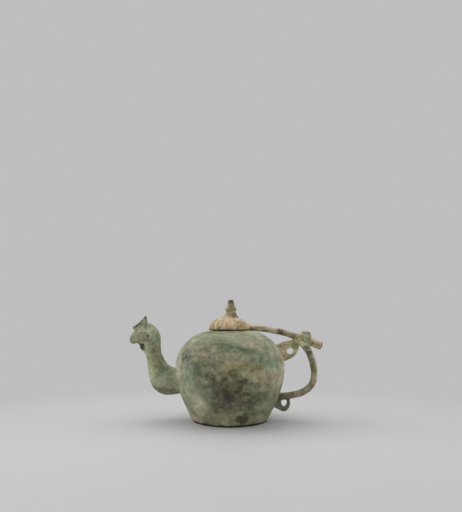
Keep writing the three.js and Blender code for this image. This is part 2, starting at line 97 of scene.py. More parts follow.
def round_edges(piece, width, segments=3):
    """Bevels the sharp edges of a piece."""
    work(piece, "BEVEL", width=width * MM, segments=segments, limit_method="ANGLE",
         angle_limit=CREASE)


def gather(piece, *others):
    """Joins loose solids into one piece, which fuse when it is cast."""
    only(piece)
    for other in others:
        other.select_set(True)
    bpy.ops.object.join()
    bpy.ops.object.select_all(action="DESELECT")


def copy_of(piece, name):
    """A copy with its own mesh."""
    twin = piece.copy()
    twin.data = piece.data.copy()
    twin.name = name
    bpy.context.scene.collection.objects.link(twin)
    return twin


def cast(piece, grain, soften):
    """Fuses a piece into one skin, as if poured in a mould, and softens its edges."""
    work(piece, "REMESH", mode="VOXEL", voxel_size=grain * MM, use_smooth_shade=True)
    work(piece, "SMOOTH", factor=0.5, iterations=soften)


def unevenness(name, size):
    """Clouds with lumps of about a size, to displace a skin with."""
    texture = bpy.data.textures.new(name, "CLOUDS")
    texture.noise_scale = size * MM
    texture.noise_depth = 2
    return texture


def pitted(piece, *layers):
    """Moves the skin in and out a little, in layers of (texture, depth)."""
    for texture, depth in layers:
        work(piece, "DISPLACE", texture=texture, texture_coords="LOCAL", strength=depth * MM,
             mid_level=0.5)


def eased(rows, steps):
    """Rows on a smooth line through the given rows, so many to each gap."""
    line = []
    last = len(rows) - 1
    for i in range(last):
        around = [rows[min(max(i + k, 0), last)] for k in (-1, 0, 1, 2)]
        for step in range(steps):
            t = step / steps
            line.append([
                q + 0.5 * t * (r - p + t * (2 * p - 5 * q + 4 * r - w
                                            + t * (3 * q - p - 3 * r + w)))
                for p, q, r, w in zip(*around)
            ])
    line.append(list(rows[last]))
    return line


def turn_up(name, outline, sides):
    """Raises a disc along an outline of (radius, height), as on a lathe."""
    radius, height = outline[0]
    bpy.ops.mesh.primitive_circle_add(vertices=sides, radius=radius * MM,
                                      location=(0, 0, height * MM), fill_type="NGON")
    piece = begin(name)
    for next_radius, next_height in outline[1:]:
        bpy.ops.mesh.extrude_region_move(
            TRANSFORM_OT_translate={"value": (0, 0, (next_height - height) * MM)})
        grow = next_radius / radius
        bpy.ops.transform.resize(value=(grow, grow, 1), center_override=(0, 0, next_height * MM))
        radius, height = next_radius, next_height
    return leave(piece)


def draw_out(name, rings, sides, turn=0.0):
    """Draws a disc out ring by ring. A ring is (x, z, half length, half width, tilt), with its
    long axis in the XZ plane."""
    bpy.ops.mesh.primitive_circle_add(vertices=sides, radius=MM, fill_type="NGON")
    piece = begin(name)
    bpy.ops.transform.rotate(value=turn, orient_axis="Z", center_override=(0, 0, 0))
    here, length, width, tilt = Vector((0, 0, 0)), 1, 1, 0
    for i, (x, z, next_length, next_width, next_tilt) in enumerate(rings):
        if i:
            bpy.ops.mesh.extrude_region_move()
        bpy.ops.transform.rotate(value=-tilt, orient_axis="Y", center_override=here)
        bpy.ops.transform.resize(value=(next_length / length, next_width / width, 1),
                                 center_override=here)
        bpy.ops.transform.rotate(value=next_tilt, orient_axis="Y", center_override=here)
        there = Vector((x, 0, z)) * MM
        bpy.ops.transform.translate(value=there - here)
        here, length, width, tilt = there, next_length, next_width, next_tilt
    return leave(piece)


def bar_rings(path):
    """Rings square to a path of (x, z, half height, half width)."""
    rings = []
    for i, (x, z, half_height, half_width) in enumerate(path):
        before, after = path[max(i - 1, 0)], path[min(i + 1, len(path) - 1)]
        along = math.atan2(after[1] - before[1], after[0] - before[0])
        rings.append((x, z, half_height, half_width, along + QUARTER))
    for i in range(1, len(rings)):
        turn = rings[i][4] - rings[i - 1][4]
        rings[i] = rings[i][:4] + (rings[i][4] - 2 * math.pi * round(turn / (2 * math.pi)),)
    return rings


def plate(name, outline, half_width, middle=0.0):
    """Draws a corner along an outline of the XZ plane, fills it and makes it thick along Y."""
    bpy.ops.mesh.primitive_plane_add(size=MM)
    piece = begin(name)
    bpy.ops.mesh.merge(type="CENTER")
    here = Vector((0, 0, 0))
    for i, (x, z) in enumerate(list(outline) + [outline[0]]):
        there = Vector((x, middle - half_width, z)) * MM
        if i:
            bpy.ops.mesh.extrude_region_move(TRANSFORM_OT_translate={"value": there - here})
        else:
            bpy.ops.transform.translate(value=there)
        here = there
    bpy.ops.mesh.select_all(action="SELECT")
    bpy.ops.mesh.remove_doubles(threshold=DOUBLES)
    bpy.ops.mesh.edge_face_add()
    bpy.ops.mesh.extrude_region_move(
        TRANSFORM_OT_translate={"value": (0, 2 * half_width * MM, 0)})
    return leave(piece)


def choose(piece, wanted):
    """Opens a piece with only the wanted points selected, by their place in millimetres."""
    only(piece)
    bpy.ops.object.mode_set(mode="EDIT")
    bpy.ops.mesh.select_mode(type="VERT")
    bpy.ops.mesh.select_all(action="DESELECT")
    bpy.ops.object.mode_set(mode="OBJECT")
    for point in piece.data.vertices:
        point.select = wanted(*(point.co / MM))
    bpy.ops.object.mode_set(mode="EDIT")


def cross_rod(name, x, z, half_length, half_height, half_width, sides=48):
    """An oval rod along Y, centred on the XZ plane."""
    bpy.ops.mesh.primitive_cylinder_add(vertices=sides, radius=MM, depth=2 * half_width * MM,
                                        location=(x * MM, 0, z * MM), rotation=(QUARTER, 0, 0))
    piece = begin(name)
    centre = (x * MM, 0, z * MM)
    bpy.ops.transform.resize(value=(half_length, 1, half_height), center_override=centre)
    return leave(piece)


def pebble(name, at, size, turn=(0, 0, 0)):
    """A ball squeezed to its three half sizes, then turned."""
    bpy.ops.mesh.primitive_uv_sphere_add(segments=24, ring_count=12, radius=MM)
    piece = begin(name)
    bpy.ops.transform.resize(value=size, center_override=(0, 0, 0))
    leave(piece)
    piece.rotation_euler = turn
    piece.location = Vector(at) * MM
    only(piece)
    bpy.ops.object.transform_apply(location=True, rotation=True, scale=True)
    bpy.ops.object.select_all(action="DESELECT")
    return piece


def ring_of_metal(name, at, radius, thickness):
    """A round ring that lies in the XZ plane."""
    bpy.ops.mesh.primitive_torus_add(location=Vector(at) * MM, rotation=(QUARTER, 0, 0),
                                     major_segments=48, minor_segments=16,
                                     major_radius=radius * MM, minor_radius=thickness * MM)
    return leave(begin(name))


swell = unevenness("swell", 21)
lumps = unevenness("lumps", 6.5)
warts = unevenness("warts", 3.1)
grit = unevenness("grit", 1.3)


# The body, turned up outside and down inside

BASE_RADIUS, BELLY_RADIUS, BELLY_HEIGHT, SHOULDER_HEIGHT = 39.5, 59.7, 57.0, 95.2
LIP_RADIUS, LIP_TOP, MOUTH_RADIUS, WALL, FLOOR = 20.5, 96.0, 17.5, 2.6, 3.0
PORT_HEIGHT, PORT_RADIUS = 41.3, 8.5
ROW_SPREAD = 1.2  # rows are closer at the foot than at the belly
FOOT_FULLNESS = 0.93  # the lower, the more the wall bulges above the foot
BELLY_HOLD, TOP_HOLD = 0.53, 0.5  # how long the shoulder's curve runs on upright, then flat
SEAT_DEPTH = 0.9  # how far the pieces brazed on reach into the wall


def wall_place(share):
    """The outside of the wall: below 1 the swelling foot, then the shoulder up to 2."""
    if share <= 1:
        height = BELLY_HEIGHT * share ** ROW_SPREAD
        rise = math.sin(QUARTER * height / BELLY_HEIGHT) ** FOOT_FULLNESS
        return BASE_RADIUS + (BELLY_RADIUS - BASE_RADIUS) * rise, height
    t = share - 1
    rise, run = SHOULDER_HEIGHT - BELLY_HEIGHT, BELLY_RADIUS - LIP_RADIUS
    marks = [(BELLY_RADIUS, BELLY_HEIGHT), (BELLY_RADIUS, BELLY_HEIGHT + BELLY_HOLD * rise),
             (LIP_RADIUS + TOP_HOLD * run, SHOULDER_HEIGHT), (LIP_RADIUS, SHOULDER_HEIGHT)]
    weights = [(1 - t) ** 3, 3 * t * (1 - t) ** 2, 3 * t * t * (1 - t), t ** 3]
    return tuple(sum(w * mark[i] for w, mark in zip(weights, marks)) for i in (0, 1))


def wall_outline(inset, count, lowest=0.0):
    """The wall from foot to shoulder, moved in square to itself, above a lowest height."""
    line = []
    for i in range(1, count + 1):
        share = 2 * i / count
        radius, height = wall_place(share)
        near, far = wall_place(share - 0.01), wall_place(min(share + 0.01, 2))
        run, rise = far[0] - near[0], far[1] - near[1]
        length = math.hypot(run, rise)
        place = (radius - inset * rise / length, height + inset * run / length)
        if place[1] > lowest:
            line.append(place)
    return line


def body_blank():
    """The body without its hollow, to cut off what reaches too far into the wall."""
    outline = [(BASE_RADIUS - SEAT_DEPTH, SEAT_DEPTH)] + wall_outline(SEAT_DEPTH, 60)
    return turn_up("body_blank", outline + [(4, SHOULDER_HEIGHT - SEAT_DEPTH)], 96)


outside = [place for place in wall_outline(0, 84, 2.6) if place[0] > 25]
inside = [place for place in wall_outline(WALL, 56, 6) if place[0] > MOUTH_RADIUS + 0.5]
body = turn_up("bronze_body", [
    (20, 0), (37.8, 0), (38.9, 0.15), (39.7, 0.6), (40.1, 1.4), *outside,
    (23.4, 95.3), (22.0, 95.45), (21.2, 95.65), (LIP_RADIUS + 0.2, LIP_TOP - 0.1),
    (LIP_RADIUS - 0.5, LIP_TOP), (MOUTH_RADIUS + 0.5, LIP_TOP),
    (MOUTH_RADIUS, LIP_TOP - 0.5), (MOUTH_RADIUS, inside[-1][1] + 0.4), *reversed(inside),
    (inside[0][0] - 1.4, FLOOR + 1), (inside[0][0] - 4, FLOOR), (20, FLOOR),
], 224)
port_rings = [(x, PORT_HEIGHT, PORT_RADIUS, PORT_RADIUS, QUARTER) for x in (-66, -50)]
carve(body, draw_out("port", port_rings, 48))
only(body)
bpy.ops.object.shade_smooth_by_angle(angle=CREASE)
pitted(body, (swell, 0.9), (lumps, 0.45))
# The base is pressed flat again, to stand on
choose(body, lambda x, y, z: z < 0.8)
bpy.ops.transform.resize(value=(1, 1, 0), center_override=(0, 0, 0))
bpy.ops.object.mode_set(mode="OBJECT")


# The spout and the head, drawn out as one and parted at the neck

# Ribs from the root to the tip of the beak: x and z of the upper end and of the lower end, and
# the half width
SPOUT_RIBS = [
    (-50.0, 54.0, -50.0, 28.4, 12.8), (-59.5, 55.0, -58.6, 27.2, 14.0),
    (-65.1, 56.5, -69.5, 26.3, 15.0), (-69.3, 59.5, -79.6, 30.2, 15.2),
    (-72.2, 63.4, -86.0, 37.6, 14.1), (-74.2, 67.0, -89.2, 48.0, 12.0),
    (-75.6, 70.0, -91.0, 59.5, 9.4), (-76.3, 72.5, -92.9, 68.0, 8.7),
    (-76.8, 76.5, -95.0, 72.2, 9.0), (-77.0, 80.5, -99.0, 75.6, 9.4),
    (-76.9, 85.0, -101.3, 80.2, 9.7), (-77.5, 90.5, -102.8, 82.0, 9.8),
    (-80.0, 95.9, -105.0, 81.5, 9.3), (-85.0, 101.2, -107.3, 81.1, 8.2),
    (-92.0, 104.6, -109.5, 81.6, 6.8), (-99.5, 98.6, -110.9, 82.9, 5.4),
    (-105.5, 96.0, -111.4, 85.2, 4.2), (-109.0, 92.5, -111.5, 87.5, 2.4),
]
NECK_END, BORE_END, BEAK_TIP = 7, 10, 17  # ribs: the head's joint, the end of the bore, the last
SPOUT_WALL = 2.3
EYE_X, EYE_Y, EYE_Z = -89.4, 9.9, 89.8
MOUTH_PATH = [(-84.5, 79.5, 2.9, 3.7), (-94, 79.8, 2.9, 3.7), (-99, 79.6, 2.8, 4.0),
              (-106, 79.3, 2.6, 4.2)]


def rib_rings(last, steps, inset):
    """Rings from the root to a rib, moved in by the inset."""
    line = eased(SPOUT_RIBS, steps)[:last * steps + 1]
    rings = []
    for upper_x, upper_z, lower_x, lower_z, half_width in line:
        run, rise = upper_x - lower_x, upper_z - lower_z
        tilt = math.atan2(rise, run)
        rings.append(((upper_x + lower_x) / 2, (upper_z + lower_z) / 2,
                      math.hypot(run, rise) / 2 - inset, half_width - inset, tilt))
    return rings


spout = draw_out("spout", rib_rings(BEAK_TIP, 4, 0), 64)
carve(spout, draw_out("hollow", rib_rings(BORE_END, 3, SPOUT_WALL), 40))
pits = [pebble("cheek_pit", (-96.9, side * 7.5, 78.5), (3.3, 2.5, 3.2)) for side in (-1, 1)]
creases = [pebble("comb_crease", (-93.0, side * 6.3, 101.4), (0.6, 3.0, 4.6),
                  (0, math.radians(13), 0)) for side in (-1, 1)]
carve(spout, draw_out("passage", bar_rings(eased(MOUTH_PATH, 3)), 24),
      cross_rod("gape", -95.3, 80.4, 1.2, 1.4, 16), *pits, *creases)
eye_rings = [ring_of_metal("eye_ring", (EYE_X, side * EYE_Y, EYE_Z), 2.9, 1.0)
             for side in (-1, 1)]
eyeballs = [pebble("eyeball", (EYE_X, side * (EYE_Y - 0.7), EYE_Z), (2.4, 1.3, 2.4))
            for side in (-1, 1)]
brows = [pebble("brow", (EYE_X - 1.5, side * (EYE_Y - 3.1), EYE_Z + 4.2), (5.0, 2.4, 1.8),
                (0, math.radians(12), 0)) for side in (-1, 1)]
gather(spout, *eye_rings, *eyeballs, *brows)
cast(spout, 0.42, 2)
carve(spout, body_blank())
pitted(spout, (lumps, 0.6), (grit, 0.3))


def part_at_neck(piece, keep_head):
    """Bisects the spout where the head is brazed to the neck, and closes the cut."""
    upper_x, upper_z, lower_x, lower_z, _ = SPOUT_RIBS[NECK_END]
    across = Vector((upper_x - lower_x, 0, upper_z - lower_z)).normalized()
    upward = Vector((-across.z, 0, across.x))
    only(piece)
    bpy.ops.object.mode_set(mode="EDIT")
    bpy.ops.mesh.select_all(action="SELECT")
    bpy.ops.mesh.bisect(plane_co=Vector((lower_x, 0, lower_z)) * MM, plane_no=upward,
                        use_fill=True, clear_inner=keep_head, clear_outer=not keep_head)
    leave(piece)
    only(piece)
    bpy.ops.object.shade_smooth_by_angle(angle=CREASE)


head = copy_of(spout, "rooster_head_skin")
spout.name = "spout_neck_skin"
part_at_neck(spout, False)
part_at_neck(head, True)


# The comb, a toothed plate that leans over the beak

COMB_HALF_WIDTH, COMB_FOOT_HALF_WIDTH = 1.9, 6.0
COMB_RIDGE = [(-93.5, 107.6), (-95.6, 107.4), (-98.4, 105.0), (-101.8, 102.0), (-105.2, 99.0)]

comb = plate("comb_crest", [
    (-93.9, 95.0), (-92.5, 104.0), (-92.9, 108.5), (-93.7, 111.6), (-94.8, 111.6), (-95.9, 109.7),
    (-96.9, 109.5), (-97.5, 107.7), (-99.2, 107.2), (-99.9, 105.1), (-101.8, 104.6),
    (-102.5, 102.9), (-104.6, 102.4), (-105.4, 100.8), (-108.2, 100.0), (-107.6, 97.4),
    (-104.3, 94.4),
], COMB_HALF_WIDTH)
for side in (-1, 1):
    carve(comb, plate("comb_hollow", [(-94.4, 101.5), (-94.2, 107.6), (-98.6, 103.9),
                                      (-101.6, 101.0)], 0.3, side * 1.8))
# A wedge, wide on the skull and drawn in at its ridge, carries the crest
wedge = plate("comb_wedge", [(-93.9, 93.0), *COMB_RIDGE, (-105.0, 95.0), (-101.0, 91.5)],
              COMB_FOOT_HALF_WIDTH)
choose(wedge, lambda x, y, z: any(math.hypot(x - u, z - w) < 0.1 for u, w in COMB_RIDGE))
bpy.ops.transform.resize(value=(1, 0.3, 1), center_override=(0, 0, 0))
bpy.ops.object.mode_set(mode="OBJECT")
gather(comb, wedge)
cast(comb, 0.3, 10)
pitted(comb, (lumps, 0.5), (grit, 0.35))


# The bracket, an arm from the shoulder to the hinge with the upper ring in it

BRACKET_HALF_WIDTH = 3.2

bracket = plate("upper_bracket_arm", eased([
    (50.0, 61.2), (58.0, 62.1), (64.9, 64.4), (71.2, 68.4), (74.9, 74.5), (76.7, 78.5),
    (78.6, 83.4), (73.0, 86.2), (67.8, 84.9), (63.6, 84.2), (59.2, 83.3), (49.0, 78.5),
], 3), BRACKET_HALF_WIDTH)
carve(bracket, cross_rod("eyelet", 66.3, 73.2, 4.0, 3.4, 9), body_blank())
round_edges(bracket, 1.2)
cast(bracket, 0.4, 3)
pitted(bracket, (lumps, 0.9), (grit, 0.5))


# The fork of the hinge: two ears on a saddle, with a slot that follows the lever

FORK_HALF_WIDTH, SLOT_HALF_WIDTH = 6.8, 4.0
SLOT_DEPTH = 4.4  # below the pin

fork = plate("hinge_fork_ears", eased([
    (70.6, 84.5), (71.4, 88.6), (76.2, 91.2), (79.4, 92.0), (80.4, 93.8), (82.2, 94.8),
    (84.2, 95.0), (86.2, 94.6), (88.0, 93.3), (89.0, 91.2), (89.2, 88.2), (88.9, 82.2),
    (88.2, 78.0), (89.3, 74.0), (82.4, 74.0), (80.4, 77.2), (77.4, 79.5), (74.5, 81.5),
], 2), FORK_HALF_WIDTH)
slot = plate("slot", [
    (60, PIN_Z - SLOT_DEPTH / math.cos(LEVER_SLOPE) + (PIN_X - 60) * math.tan(LEVER_SLOPE)),
    (PIN_X - 1.6, PIN_Z - SLOT_DEPTH + 0.5), (PIN_X - 3.0, PIN_Z - SLOT_DEPTH + 0.9),
    (100, PIN_Z - 20.5), (110, 110), (60, 110),
], SLOT_HALF_WIDTH)
carve(fork, slot, cross_rod("pin_hole", PIN_X, PIN_Z, PIN_HOLE, PIN_HOLE, 12))
round_edges(fork, 0.9)
cast(fork, 0.34, 2)
pitted(fork, (lumps, 0.9), (warts, 0.8), (grit, 0.35))


# The pin, with its ends just proud of the ears

PIN_HALF_LENGTH = 7.3

pin = cross_rod("hinge_pin_rivet", PIN_X, PIN_Z, PIN_RADIUS, PIN_RADIUS, PIN_HALF_LENGTH, 40)
round_edges(pin, 0.5, 4)
cast(pin, 0.2, 2)


# The grip, a bar of eight sides from the fork down to the belly

OCTAGON = 1 / math.cos(math.pi / 8)  # makes a ring of eight as high and wide across its flats
GRIP_HALF_HEIGHT, GRIP_HALF_WIDTH, GRIP_TOP = 3.4, 4.3, 74.0
BLOCK = 40  # side of the cube that cuts the top of the grip level

grip_path = eased([
    (83.6, 78.4), (86.2, 74.0), (88.1, 70.1), (91.0, 61.0), (92.5, 52.0), (91.9, 43.1),
    (88.4, 35.9), (82.6, 31.0), (75.9, 27.9), (64.7, 25.5), (56.8, 25.0), (50.3, 24.2),
], 5)
grip = draw_out("handle_grip", bar_rings([
    (x, z, GRIP_HALF_HEIGHT * OCTAGON, GRIP_HALF_WIDTH * OCTAGON) for x, z in grip_path
]), 8, math.pi / 8)
bpy.ops.mesh.primitive_cube_add(size=BLOCK * MM,
                                location=(82 * MM, 0, (GRIP_TOP + BLOCK / 2) * MM))
carve(grip, leave(begin("above_the_grip")), body_blank())
cast(grip, 0.42, 1)
pitted(grip, (lumps, 0.6), (grit, 0.3))


# The lower ring, under the foot of the grip

RING_HALF_WIDTH = 2.6

lower_ring = plate("lower_ring_loop", eased([
    (46.5, 13.6), (51.0, 12.0), (54.9, 9.8), (58.2, 9.1), (61.7, 10.2), (64.4, 13.1),
    (65.4, 16.9), (64.9, 20.1), (64.3, 23.6), (56.0, 25.0), (46.5, 25.0),
], 3), RING_HALF_WIDTH)
ring_eyelet = plate("eyelet", eased([
    (55.6, 20.4), (58.8, 21.4), (61.9, 20.2), (62.2, 17.8), (60.8, 14.9), (58.8, 13.7),
    (56.9, 14.9), (55.7, 17.6), (55.6, 20.4)], 3)[:-1], 9)
carve(lower_ring, ring_eyelet, body_blank())
round_edges(lower_ring, 1.1)
cast(lower_ring, 0.34, 3)
pitted(lower_ring, (lumps, 0.6), (grit, 0.4))


# The cap: a dome of eight petals with the root of the lever running up its flank

RIM_Z, CROWN_Z, PETALS, CAP_SIDES = 96.35, 111.6, 8, 160
DOME_SHIFT = -0.9  # the dome sits a little towards the spout
FLANK_X, FLANK_Z, FLANK_RADIUS = 33.6, 130.8, 32.3
dome = [(21.8, RIM_Z), (22.5, RIM_Z + 0.4), (22.9, RIM_Z + 1.4), (22.7, 99.6), (22.0, 101.0),
        (20.8, 102.9), (19.0, 104.9), (16.9, 106.8), (13.9, 108.5), (10.6, 109.9), (7.6, 110.9),
        (5.6, 111.3)]
hollow = [(4, 106.0), (7.5, 105.2), (11.0, 103.6), (14.5, 101.6), (17.0, 100.0), (14.8, 99.3)]
cap = turn_up("petal_cap", [
    *hollow, (14.8, 94.2), (15.2, 93.85), (16.2, 93.85), (16.6, 94.2), (16.6, RIM_Z),
    *eased(dome, 3), (3.0, CROWN_Z),
], CAP_SIDES)


def on_dome(x, y, z):
    """Whether a point lies outside the oval that holds the hollow and the collar."""
    return math.hypot(x / 20, y / 20, (z - 96) / 13) > 1


def press_petals(depth, least_radius):
    """Draws the dome in between its petals, more and more towards each groove."""
    half = CAP_SIDES // PETALS // 2
    for step in range(half):
        def beside_groove(x, y, z):
            column = round(math.atan2(y, x) / (2 * math.pi) * CAP_SIDES)
            return (on_dome(x, y, z) and math.hypot(x, y) > least_radius
                    and abs((column + half) % (2 * half) - half) == half - step)
        choose(cap, beside_groove)
        grow = 1 - depth * (1 - math.sin(QUARTER * step / half))
        bpy.ops.transform.resize(value=(grow, grow, grow), center_override=(0, 0, RIM_Z * MM))
        bpy.ops.object.mode_set(mode="OBJECT")


for depth, least_radius in ((0.03, 9.0), (0.03, 12.0), (0.025, 15.0)):
    press_petals(depth, least_radius)
choose(cap, on_dome)
bpy.ops.transform.translate(value=(DOME_SHIFT * MM, 0, 0))
bpy.ops.object.mode_set(mode="OBJECT")
# The flank towards the lever is hollowed, and the root of the lever runs up it
carve(cap, cross_rod("flank", FLANK_X, FLANK_Z, FLANK_RADIUS, FLANK_RADIUS, 30, 128))
root = draw_out("lever_root", bar_rings(eased([
    (5.6, 110.8, 1.7, 2.6), (9.5, 107.8, 1.9, 3.0), (12.4, 105.6, 2.0, 3.4),
    (15.4, 103.6, 2.1, 3.8), (18.6, 101.9, 2.1, 4.1), (22.0, 100.4, 2.2, 4.3),
    (26.5, 99.2, 2.3, 4.1)], 3)), 24)
gather(cap, root)
cast(cap, 0.34, 1)
pitted(cap, (lumps, 0.8), (warts, 0.5), (grit, 0.35))


# The finial, a baluster knob on the crown

FINIAL_SHIFT = 0.8  # the knob sits a little towards the lever

finial = turn_up("lid_finial_spire", eased([
    (8.8, 110.6), (7.8, 111.6), (6.9, 112.8), (6.1, 114.2), (5.5, 115.8), (5.4, 117.0),
    (5.8, 117.9), (6.2, 118.9), (5.9, 120.1), (5.0, 121.4), (4.4, 123.0), (4.0, 125.4),
    (3.6, 127.4), (3.2, 128.8), (1.9, 129.5),
], 3), 64)
only(finial)
bpy.ops.transform.translate(value=(FINIAL_SHIFT * MM, 0, 0))
bpy.ops.object.transform_apply(location=True, rotation=False, scale=False)
cast(finial, 0.3, 2)
pitted(finial, (lumps, 0.7), (warts, 0.6), (grit, 0.4))


# The lever, from the cap over the pin to the thumb-piece

lever_path = eased([
    (18.6, 99.4, 1.9, 3.6), (23.0, 98.5, 2.8, 4.4), (27.6, 98.2, 2.9, 4.3),
    (35.5, 97.8, 3.2, 3.9), (43.4, 96.7, 3.3, 3.7), (53.4, 94.7, 3.3, 3.6), (61.5, 92.8, 3.3, 3.6),
    (68.6, 90.6, 3.4, 3.6), (PIN_X, PIN_Z, 3.9, 3.6), (91.4, 82.4, 4.1, 3.6),
    (99.4, 79.1, 4.3, 3.6), (100.8, 78.5, 4.1, 3.3), (101.3, 78.3, 3.4, 2.6),
], 4)
lever = draw_out("lid_lever_arm", bar_rings([
    (x, z, height * OCTAGON, width * OCTAGON) for x, z, height, width in lever_path
]), 8, math.pi / 8)
carve(lever, cross_rod("lever_hole", PIN_X, PIN_Z, PIN_HOLE, PIN_HOLE, 9))
cast(lever, 0.38, 1)
pitted(lever, (lumps, 0.5), (grit, 0.35))


# Corroded bronze

def paint(code):
    """A screen colour such as 7b8567 as linear values."""
    parts = [int(code[i:i + 2], 16) / 255 for i in (0, 2, 4)]
    return tuple(p / 12.92 if p <= 0.04045 else ((p + 0.055) / 1.055) ** 2.4 for p in parts) + (1,)


BROAD_SHARE, MIDDLE_SHARE, SMALL_SHARE = 0.3, 0.48, 0.22  # of each noise in the ground's tone
RAMP_START, RAMP_SPAN = 0.385, 0.23  # the tones over which the ground goes from dark to pale


class Corrosion:
    """One material, built up like the crust on buried bronze: a mottled ground, patches of other
    salts and a few of painted shade and highlight, grime in the hollows, worn high places, and a
    gritty skin."""

    def __init__(self, name, ground, seed, stretch=(1, 1, 1)):
        self.material = bpy.data.materials.new(name)
        self.material.use_nodes = True
        self.tree = self.material.node_tree
        self.tree.nodes.clear()
        self.seed = seed
        self.object_place = self.add("ShaderNodeTexCoord").outputs["Object"]
        self.where = self.scaled((1, 1, 1))
        self.grain = self.scaled(stretch)
        broad = self.noise(26, 3, 0.5)
        self.middle = self.noise(9, 5, 0.62, self.grain)
        self.small = self.noise(3.4, 4, 0.62, self.grain)
        self.fine = self.noise(1.0, 3, 0.6)
        tone = self.sum("MULTIPLY", broad, BROAD_SHARE)
        tone = self.sum("MULTIPLY_ADD", self.middle, MIDDLE_SHARE, tone)
        tone = self.sum("MULTIPLY_ADD", self.small, SMALL_SHARE, tone)
        ramp = self.add("ShaderNodeValToRGB")
        self.feed(ramp.inputs[0], tone)
        stops = ramp.color_ramp.elements
        for i, code in enumerate(ground):
            place = RAMP_START + RAMP_SPAN * i / (len(ground) - 1)
            stop = stops[i] if i < 2 else stops.new(place)
            stop.position = place
            stop.color = paint(code)
        self.ground = ramp.outputs[0]
        self.plain = paint(ground[len(ground) // 2])
        self.colour = self.plain

    def add(self, kind, **settings):
        """Adds a node with its settings."""
        node = self.tree.nodes.new(kind)
        for name, value in settings.items():
            setattr(node, name, value)
        return node

    def feed(self, socket, value):
        """Links an output to a socket, or sets a plain value on it."""
        if isinstance(value, bpy.types.NodeSocket):
            self.tree.links.new(value, socket)
        else:
            socket.default_value = value

    def scaled(self, stretch):
        """Places in millimetres, or squeezed so that a pattern runs in streaks."""
        node = self.add("ShaderNodeMapping")
        node.inputs["Scale"].default_value = [1000 * share for share in stretch]
        self.feed(node.inputs["Vector"], self.object_place)
        return node.outputs["Vector"]

    def noise(self, size, detail, rough, where=None):
        """Noise with lumps of a size in millimetres, new at each call."""
        self.seed += 1
        node = self.add("ShaderNodeTexNoise", noise_dimensions="4D")
        self.feed(node.inputs["Vector"], where or self.where)
        node.inputs["W"].default_value = self.seed * 3.7
        node.inputs["Scale"].default_value = 1 / size
        node.inputs["Detail"].default_value = detail
        node.inputs["Roughness"].default_value = rough
        return node.outputs[0]

    def fit(self, value, low, high, top=1.0):
        """Eases a value from 0 at the low mark to the top at the high mark."""
        node = self.add("ShaderNodeMapRange", interpolation_type="SMOOTHSTEP")
        self.feed(node.inputs["Value"], value)
        node.inputs["From Min"].default_value = low
        node.inputs["From Max"].default_value = high
        node.inputs["To Max"].default_value = top
        return node.outputs[0]

    def sum(self, how, first, second, third=None):
        node = self.add("ShaderNodeMath", operation=how)
        for socket, value in zip(node.inputs, (first, second, third)):
            if value is not None:
                self.feed(socket, value)
        return node.outputs[0]

    def mix(self, share, first, second, how="MIX"):
        node = self.add("ShaderNodeMix", data_type="RGBA", blend_type=how)
        self.feed(node.inputs[0], share)
        self.feed(node.inputs[6], first)
        self.feed(node.inputs[7], second)
        return node.outputs[2]

    def zone(self, at, reach, strength, ragged, edge, turn):
        """How far a place lies inside an oval patch with ragged edges."""
        place = self.add("ShaderNodeMapping", vector_type="TEXTURE")
        self.feed(place.inputs["Vector"], self.where)
        place.inputs["Location"].default_value = at
        place.inputs["Rotation"].default_value = (0, math.radians(turn), 0)
        place.inputs["Scale"].default_value = reach
        length = self.add("ShaderNodeVectorMath", operation="LENGTH")
        self.feed(length.inputs[0], place.outputs[0])
        wobble = self.sum("MULTIPLY_ADD", self.middle, ragged * 2, -ragged * 1.6)
        wobble = self.sum("MULTIPLY_ADD", self.small, ragged * 1.2, wobble)
        far = self.sum("ADD", length.outputs["Value"], wobble)
        return self.fit(far, 1 + edge, 1 - edge, strength)

    def blotch(self, code, at, reach, strength=0.8, ragged=1.3, edge=0.5, turn=0):
        """Paints a patch towards a colour, for a stain or for painted shade and highlight. It has
        a centre, three half sizes, a strength, how ragged and how soft its edge is, and its turn
        about Y in degrees."""
        share = self.zone(at, reach, strength, ragged, edge, turn)
        self.colour = self.mix(share, self.colour, paint(code))

    def mottle(self):
        """Lays the mottling of the ground over the stains."""
        self.colour = self.mix(1.0, self.colour, self.ground, "MULTIPLY")
        self.colour = self.mix(1.0, self.colour, self.plain, "DIVIDE")

    def speckle(self, code, size, low, high, strength, where=None):
        """Specks of one colour all over."""
        share = self.fit(self.noise(size, 3, 0.65, where), low, high, strength)
        self.colour = self.mix(share, self.colour, paint(code))

    def streak(self, code, at, reach, strength, stretch, size=4):
        """Streaks of one colour in a patch."""
        line = self.fit(self.noise(size, 3, 0.6, self.scaled(stretch)), 0.48, 0.62)
        share = self.sum("MULTIPLY", line, self.zone(at, reach, strength, 0.8, 0.5, 0))
        self.colour = self.mix(share, self.colour, paint(code))

    def wear(self, worn, grime):
        """Lightens the high places and darkens the hollows."""
        shape = self.add("ShaderNodeNewGeometry").outputs["Pointiness"]
        self.colour = self.mix(self.fit(shape, 0.515, 0.57, 0.5), self.colour, paint(worn))
        self.colour = self.mix(self.fit(shape, 0.49, 0.44, 0.75), self.colour, paint(grime))

